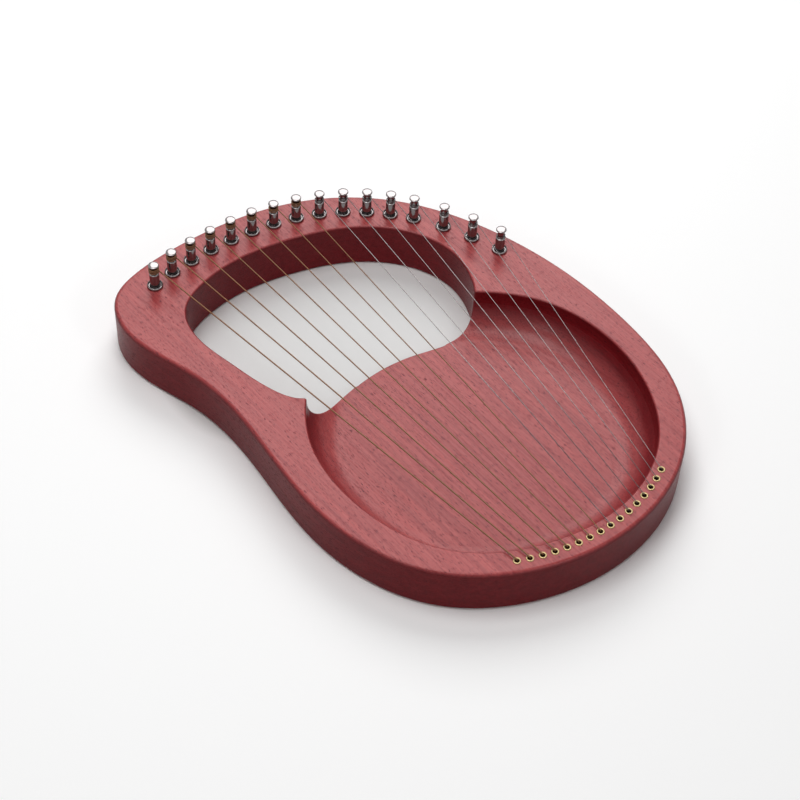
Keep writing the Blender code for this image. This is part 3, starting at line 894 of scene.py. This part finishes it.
class LYRE_OT_stage(Operator):
    """Set the pale floor, the soft lamps, the white surroundings and the photograph's camera"""

    bl_idname = "lyre.stage"
    bl_label = "Stage"

    def execute(self, context):
        settings = context.scene.lyre_stage
        half = settings.floor_size / 2
        corners = half * np.array([(-1, -1), (1, -1), (1, 1), (-1, 1)])
        floor = mesh_object("floor", level(corners, FLOOR_HEIGHT), [(0, 1, 2, 3)])
        shader = Shader("pale_floor")
        seen = shader.node("ShaderNodeLightPath").outputs["Is Camera Ray"]
        x, y = GREY_CENTRE
        wide, long = GREY_RADII
        under = shader.place(scale=(1 / wide, 1 / long, 1), shift=(-x / wide, -y / long, 0))
        distance = shader.node("ShaderNodeVectorMath", {0: under}, operation="LENGTH").outputs["Value"]
        grey = shader.ramp(distance, [(0.92, 1.0), (1.0, 0.0)])
        bright = shader.mix(grey, WHITE, GREY_TONE)
        shader.join(shader.mix(seen, settings.floor, bright), "Base Color")
        shader.set(Roughness=0.9, Specular_IOR_Level=0.0)
        floor.data.materials.append(shader.material)
        self.surroundings(context)
        for name, place, side, power in LAMPS:
            data = bpy.data.lights.new(name, "AREA")
            data.size = side
            data.energy = power
            lamp = bpy.data.objects.new(name, data)
            lamp.location = place
            lamp.rotation_euler = (-Vector(place)).to_track_quat("-Z", "Y").to_euler()
            context.scene.collection.objects.link(lamp)
        data = bpy.data.cameras.new("photo_camera")
        data.sensor_width = 36
        data.lens = settings.lens
        camera = bpy.data.objects.new("photo_camera", data)
        axes = Matrix((CAMERA_RIGHT, CAMERA_UP, [-part for part in CAMERA_FORWARD])).transposed()
        camera.matrix_world = Matrix.Translation(CAMERA_PLACE) @ axes.to_4x4()
        context.scene.collection.objects.link(camera)
        context.scene.camera = camera
        context.scene.view_settings.view_transform = "Standard"
        return {"FINISHED"}

    def surroundings(self, context):
        """White where it is seen, mirrored or seen through, and a faint light on everything else."""
        world = bpy.data.worlds.new("studio")
        world.use_nodes = True
        tree = world.node_tree
        path = tree.nodes.new("ShaderNodeLightPath")
        back = tree.nodes["Background"]
        total = path.outputs["Is Camera Ray"]
        for name in ("Is Glossy Ray", "Is Transmission Ray"):
            add = tree.nodes.new("ShaderNodeMath")
            add.operation = "MAXIMUM"
            tree.links.new(total, add.inputs[0])
            tree.links.new(path.outputs[name], add.inputs[1])
            total = add.outputs[0]
        scale = tree.nodes.new("ShaderNodeMapRange")
        tree.links.new(total, scale.inputs["Value"])
        scale.inputs["To Min"].default_value = ROOM_LIGHT
        scale.inputs["To Max"].default_value = 1.0
        tree.links.new(scale.outputs["Result"], back.inputs["Strength"])
        back.inputs["Color"].default_value = (*WHITE, 1)
        context.scene.world = world


class LYRE_PT_panel(Panel):
    """Lists the lyre's pieces with their sizes and colours"""

    bl_label = "Lyre harp"
    bl_idname = "LYRE_PT_panel"
    bl_space_type = "VIEW_3D"
    bl_region_type = "UI"
    bl_category = "Lyre"

    def draw(self, context):
        for operator, group in ORDER:
            box = self.layout.box()
            box.operator(operator.bl_idname)
            if group:
                settings = getattr(context.scene, group)
                for name in settings.bl_rna.properties.keys():
                    if name not in ("rna_type", "name"):
                        box.prop(settings, name)


GROUPS = {
    "lyre_body": LyreBody, "lyre_metal": LyreMetal, "lyre_strings": LyreStrings, "lyre_stage": LyreStage,
}
ORDER = [
    (LYRE_OT_stage, "lyre_stage"), (LYRE_OT_body, "lyre_body"), (LYRE_OT_pins, "lyre_metal"),
    (LYRE_OT_bushings, None), (LYRE_OT_eyelets, None), (LYRE_OT_strings, "lyre_strings"),
]


def register():
    for group in GROUPS.values():
        bpy.utils.register_class(group)
    for operator, _ in ORDER:
        bpy.utils.register_class(operator)
    bpy.utils.register_class(LYRE_PT_panel)
    for name, group in GROUPS.items():
        setattr(bpy.types.Scene, name, PointerProperty(type=group))


def unregister():
    for name in GROUPS:
        delattr(bpy.types.Scene, name)
    bpy.utils.unregister_class(LYRE_PT_panel)
    for operator, _ in ORDER:
        bpy.utils.unregister_class(operator)
    for group in GROUPS.values():
        bpy.utils.unregister_class(group)


def main():
    register()
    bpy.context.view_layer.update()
    bpy.ops.lyre.stage()
    bpy.ops.lyre.body()
    bpy.ops.lyre.pins()
    bpy.ops.lyre.bushings()
    bpy.ops.lyre.eyelets()
    bpy.ops.lyre.strings()


if __name__ == "__main__":
    main()
